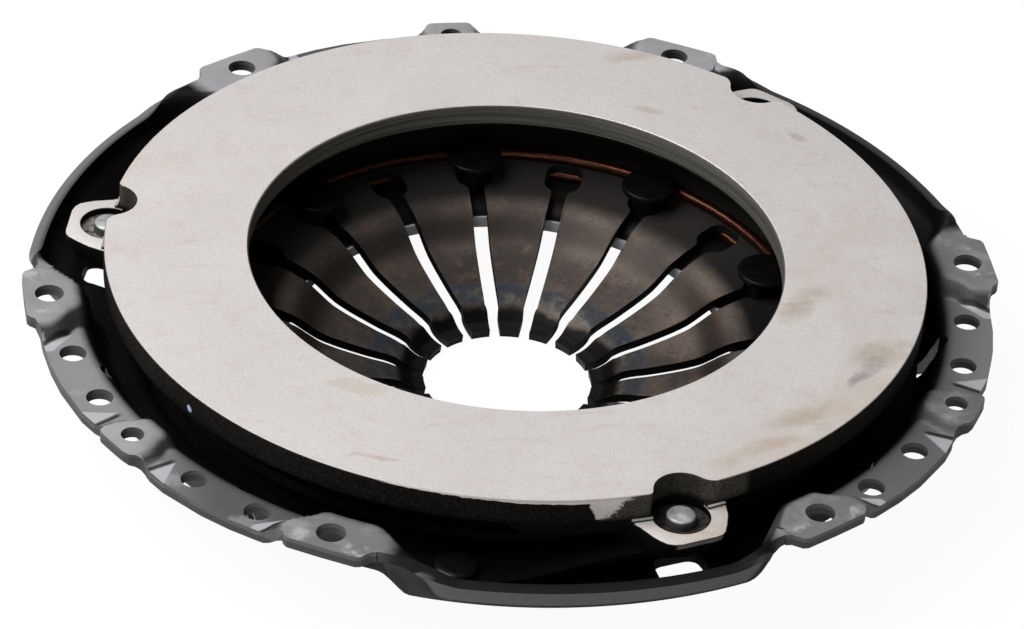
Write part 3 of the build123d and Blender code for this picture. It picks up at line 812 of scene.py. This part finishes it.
# the tips are hardened: a thin blue line, then grey and straw colours, up to the bend, which is
# painted dark as painted shade
tint = temper.noise(170, 4, 0.7)
warm = temper.mixed((0.050, 0.057, 0.062), (0.120, 0.100, 0.075), tint.step(0.46, 0.66))
warm = temper.mixed(warm, (0.034, 0.044, 0.060), mottle.step(0.44, 0.62))
paler_side = temper.x.step(-0.02, 0.02) * tint.step(0.5, 0.7)
warm = temper.mixed(warm, (0.17, 0.17, 0.15), paler_side * 0.6)
warm = temper.mixed(warm, (0.020, 0.021, 0.023), freckle.step(0.50, 0.72) * 0.5)
straw = temper.mixed(straw, warm, across.band(0.0345, 0.0400, 0.0014) * 0.9)
straw = temper.mixed(straw, (0.030, 0.045, 0.085), across.band(0.0396, 0.0410, 0.0012) * 0.6)
straw = temper.mixed(straw, (0.005, 0.005, 0.005), 1 - across.step(0.0315, 0.0348))
straw = temper.mixed(straw, (0.014, 0.013, 0.014), 1 - temper.radius.step(0.0280, 0.0292))
# painted shade: the fingers' side faces are painted near black
walls = 1 - temper.normal_z().step(0.25, 0.6)
straw = temper.mixed(straw, (0.006, 0.005, 0.005), walls * temper.radius.step(0.027, 0.029))
temper.wire("Base Color", straw)
temper.wire("Metallic", (1 - shadowed_outer) * 0.6)
temper.wire("Roughness", 0.40 + mottle * 0.14 + shadowed_outer * 0.2)
temper.wire("Specular IOR Level", 0.05)
temper.bump(temper.noise(700, 4) + temper.noise(1.0, 3, 0.6, temper.polar_place(9, 900)) * 0.6,
            0.00004)
temper.on(spring)
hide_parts("diaphragm_spring")
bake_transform(spring)

# ---------------------------------------------------------------------------
# Fulcrum rings. Two hoops of copper-coated 3.3 mm wire that the spring tilts between: one lies
# on the cover, the other under the heads of the spacer rivets.
RING_RADIUS = 86.5
RING_HEIGHTS = {"plate": -13.1, "cover": -19.3}
WIRE = 3.3
copper = Finish("copper coated wire")
draw = copper.noise(1.0, 4, 0.6, copper.polar_place(30, 1500))
# painted shade: the copper is painted much darker than bare copper
coated = copper.mixed((0.022, 0.006, 0.003), (0.075, 0.025, 0.011), draw.step(0.3, 0.7))
copper.wire("Base Color", coated)
copper.wire("Metallic", 0.85)
copper.wire("Roughness", 0.24 + draw * 0.14)
copper.bump(draw, 0.00002)
for side, height in RING_HEIGHTS.items():
    bm = bmesh.new()
    bmesh.ops.create_circle(bm, segments=20, radius=WIRE / 2 * MM)
    bmesh.ops.rotate(bm, verts=bm.verts, cent=(0, 0, 0), matrix=Matrix.Rotation(pi / 2, 3, "X"))
    bmesh.ops.translate(bm, verts=bm.verts, vec=(RING_RADIUS * MM, 0, height * MM))
    bmesh.ops.spin(bm, geom=bm.verts[:] + bm.edges[:], cent=(0, 0, 0), axis=(0, 0, 1),
                   dvec=(0, 0, 0), angle=2 * pi, steps=180, use_merge=True, use_duplicate=False)
    bmesh.ops.remove_doubles(bm, verts=bm.verts, dist=1e-7)
    bmesh.ops.recalc_face_normals(bm, faces=bm.faces)
    ring = finished(piece(f"fulcrum_wire_{side}_side", bm), crease=60)
    copper.on(ring)
    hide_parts(f"fulcrum_ring_{side}_side")
    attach(ring, "cover_assembly")

# ---------------------------------------------------------------------------
# Spacer rivets. Nine headed steel rivets through alternate eyes of the spring; each wide head
# holds the upper wire down, a cone under it centres the wire, and the tail is closed under the
# cover.
SPACERS = 9
SPACER_CIRCLE = 80.0
spacer_line = [
    (0, -9.6), (7.6, -9.64), (8.15, -9.75), (8.42, -10.0), (8.5, -10.4), (8.4, -11.42),
    (5.75, -11.45), (4.8, -12.1), (4.8, -24.52), (5.9, -24.52), (5.85, -25.4), (5.0, -26.2),
    (3.0, -26.6), (0, -26.7),
]
dark_steel = Finish("dark rivet steel")
rub = dark_steel.noise(300, 5, 0.6).step(0.35, 0.70)
smooth_black = dark_steel.mixed((0.0015, 0.0015, 0.0015), (0.003, 0.003, 0.003), rub)
dark_steel.wire("Base Color", smooth_black)
dark_steel.wire("Metallic", 0.0)
dark_steel.wire("Roughness", 0.30 + rub * 0.05)
dark_steel.wire("Specular IOR Level", 0.08)
dark_steel.bump(dark_steel.noise(260, 4), 0.00002)


def rivet(name, line, radius, azimuth):
    """A headed rivet turned about its own axis, then set in its hole."""
    bm = bmesh.new()
    turned(bm, line, 56)
    bmesh.ops.remove_doubles(bm, verts=bm.verts, dist=1e-6)
    bmesh.ops.recalc_face_normals(bm, faces=bm.faces)
    x, y = polar(radius * MM, azimuth)
    bmesh.ops.translate(bm, verts=bm.verts, vec=(x, y, 0))
    return finished(piece(name, bm), crease=45)


for number in range(SPACERS):
    azimuth = 180 / FINGERS + 360 / SPACERS * number
    spacer = rivet(f"spacer_{number + 1}", spacer_line, SPACER_CIRCLE, azimuth)
    dark_steel.on(spacer)
    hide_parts(f"spacer_rivet_{number + 1}")
    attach(spacer, "cover_assembly")

# ---------------------------------------------------------------------------
# Drive straps. Three leaves of 0.7 mm spring strip in each of three places, riveted to the
# cover at one end and to a lug of the plate at the other; the strip is painted near black as
# painted shade.
STRAP_AZIMUTH = 44.3
LEAF = 0.7
LEAVES = 3
LEAF_GAP = 0.03
STRAP_WIDE = 13.0
STRAP_FLAT = 7.6
STRAP_FOOT = -17.89
STRAP_CLIMB = 9.19
STRAP_BENDS = 24
strap_start = Vector((*polar(LUG_REACH, STRAP_AZIMUTH), 0))
strap_end = Vector((*polar(LUG_REACH, LUG_AZIMUTH), 0))
strap_run = (strap_end - strap_start).length
strap_turn = atan2(*(strap_end - strap_start).yx)
shaded = Finish("shaded spring strip")
haze = shaded.noise(200, 5)
# painted shade: the strip is painted near black
shaded.wire("Base Color", shaded.mixed((0.001, 0.001, 0.0015), (0.003, 0.003, 0.004), haze))
shaded.wire("Metallic", 0.0)
shaded.wire("Specular IOR Level", 0.04)
shaded.wire("Roughness", 0.55 + haze * 0.12)
shaded.bump(haze, 0.00002)
half_ends = arc((0, 0), STRAP_WIDE / 2, 90, 270, 14)
for number, middle in enumerate(GROUP_MIDDLES, start=1):
    spot = Matrix.Rotation(radians(middle), 4, "Z") @ Matrix.Translation(strap_start * MM)
    spot = spot @ Matrix.Rotation(strap_turn, 4, "Z")
    for layer in range(LEAVES):
        leaf_foot = STRAP_FOOT + LEAF * layer
        bm = bmesh.new()
        strip = half_ends + [(strap_run - x, -y) for x, y in half_ends]
        corners = [bm.verts.new((x * MM, y * MM, 0)) for x, y in strip]
        bm.faces.new(corners)
        for i in range(1, STRAP_BENDS):
            cut_at = (STRAP_FLAT + (strap_run - 2 * STRAP_FLAT) * i / STRAP_BENDS) * MM
            bmesh.ops.bisect_plane(bm, geom=bm.verts[:] + bm.edges[:] + bm.faces[:],
                                   plane_co=(cut_at, 0, 0), plane_no=(1, 0, 0))
        for vert in bm.verts:
            rise = eased(vert.co.x / MM, STRAP_FLAT, strap_run - STRAP_FLAT)
            vert.co.z = (leaf_foot + STRAP_CLIMB * rise) * MM
        for face in bm.faces:
            if face.normal.z < 0:
                face.normal_flip()
        bmesh.ops.recalc_face_normals(bm, faces=bm.faces)
        bmesh.ops.solidify(bm, geom=bm.faces[:], thickness=-(LEAF - LEAF_GAP) * MM)
        low = min(v.co.z for v in bm.verts)
        bmesh.ops.translate(bm, verts=bm.verts, vec=(0, 0, leaf_foot * MM - low))
        bmesh.ops.transform(bm, matrix=spot, verts=bm.verts)
        bmesh.ops.recalc_face_normals(bm, faces=bm.faces)
        strap = finished(piece(f"drive_strap_{number}_leaf_{layer + 1}", bm), crease=40)
        shaded.on(strap)
        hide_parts(f"strap_{number}_leaf_{layer + 1}")
        start = spot @ Vector((STRAP_FLAT * MM, 0, 0))
        end = spot @ Vector(((strap_run - STRAP_FLAT) * MM, 0, 0))
        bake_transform(strap)

# ---------------------------------------------------------------------------
# Strap rivets. The lug rivets are zinc grey, with flat hammered ends that stand in the pockets;
# the rivets in the cover have wide black heads.
lug_rivet_line = [
    (0, 1.72), (0.35, 1.66), (0.7, 1.5), (3.3, 1.45), (3.9, 1.25), (4.2, 0.85), (4.3, 0.3),
    (4.3, -8.76), (5.3, -8.76), (5.25, -9.9), (4.2, -10.7), (2.0, -11.0), (0, -11.06),
]
zinc = Finish("zinc grey rivet")
hammer = zinc.noise(330, 3, 0.5)
tarnish = zinc.noise(150, 5, 0.6).step(0.35, 0.7)
flat_end = zinc.normal_z().step(0.35, 0.85)
zinc_tone = zinc.mixed((0.22, 0.23, 0.225), (0.46, 0.48, 0.47), tarnish)
# painted shade: the sides of the rivet end are painted dark, only its up-facing end shows zinc grey
zinc.wire("Base Color", zinc.mixed((0.05, 0.05, 0.048), zinc_tone, flat_end))
zinc.wire("Metallic", 0.2)
zinc.wire("Roughness", 0.36 + tarnish * 0.14)
zinc.bump(hammer, 0.00025)
cover_rivet_line = [
    (0, -13.1), (3.6, -13.14), (5.2, -13.35), (5.95, -13.75), (6.25, -14.3), (6.25, -15.7),
    (4.0, -15.76), (4.0, -21.42), (5.6, -21.42), (5.5, -22.4), (4.4, -23.3), (2.2, -23.6),
    (0, -23.62),
]
black = Finish("black rivet head")
soot = black.noise(400, 5, 0.6)
black.wire("Base Color", black.mixed((0.002, 0.002, 0.0022), (0.005, 0.005, 0.0055), soot))
black.wire("Metallic", 0.0)
black.wire("Specular IOR Level", 0.18)
black.wire("Roughness", 0.26 + soot * 0.12)
black.bump(soot, 0.00005)
for number, middle in enumerate(GROUP_MIDDLES, start=1):
    end = rivet(f"lug_rivet_end_{number}", lug_rivet_line, LUG_REACH, middle + LUG_AZIMUTH)
    zinc.on(end)
    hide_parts(f"lug_rivet_{number}")
    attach(end, "pressure_plate")
    head = rivet(f"strap_rivet_head_{number}", cover_rivet_line, LUG_REACH, middle + STRAP_AZIMUTH)
    black.on(head)
    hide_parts(f"cover_strap_rivet_{number}")
    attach(head, "cover_assembly")

# ---------------------------------------------------------------------------
# The studio. White paper under the clutch, a wide soft light over its left side, a weaker one in
# front, and the camera.
bm = bmesh.new()
PAPER_REACH = 6.0
bmesh.ops.create_grid(bm, x_segments=1, y_segments=1, size=PAPER_REACH)
bmesh.ops.translate(bm, verts=bm.verts, vec=(0, 0, cad_box[0][2] - 0.1 * MM))
floor = piece("floor", bm)
paper = Finish("white paper")
paper.wire("Base Color", (0.90, 0.90, 0.90))
paper.wire("Roughness", 0.9)
glow = paper.node("ShaderNodeEmission", {}, {"Color": (1, 1, 1, 1), "Strength": 1.0})
ray = paper.node("ShaderNodeLightPath", out="Is Camera Ray")
blend_floor = paper.node("ShaderNodeMixShader", {}, {
    0: ray * 0.95, 1: Reading(paper, paper.shader.outputs[0]), 2: glow})
paper.tree.links.new(blend_floor.socket, paper.tree.nodes["Material Output"].inputs["Surface"])
paper.on(floor)

scene = bpy.context.scene
scene.view_settings.view_transform = "Standard"
world = bpy.data.worlds.new("studio")
scene.world = world
world.use_nodes = True
world.node_tree.nodes["Background"].inputs["Color"].default_value = (1, 1, 1, 1)
world.node_tree.nodes["Background"].inputs["Strength"].default_value = 0.17


def softbox(name, place, aim, size, power):
    """A rectangular soft light, turned to face its aim."""
    lamp = bpy.data.lights.new(name, "AREA")
    lamp.shape = "RECTANGLE"
    lamp.size, lamp.size_y = size
    lamp.energy = power
    made = bpy.data.objects.new(name, lamp)
    made.location = place
    made.rotation_euler = (Vector(aim) - Vector(place)).to_track_quat("-Z", "Y").to_euler()
    scene.collection.objects.link(made)


softbox("overhead", (-0.8, 0.0, 1.15), (0, 0, 0), (1.2, 1.2), 33)
softbox("front", (-0.5, -1.7, 0.45), (0, -0.05, 0), (1.6, 0.6), 7)

lens = bpy.data.cameras.new("camera")
lens.lens = 179.234
lens.sensor_width = 36
lens.clip_end = 20
camera = bpy.data.objects.new("camera", lens)
camera.location = (-0.23234, -1.21063, 0.84874)
camera.rotation_euler = (radians(54.9613), radians(-3.5343), radians(-8.3876))
scene.collection.objects.link(camera)
scene.camera = camera
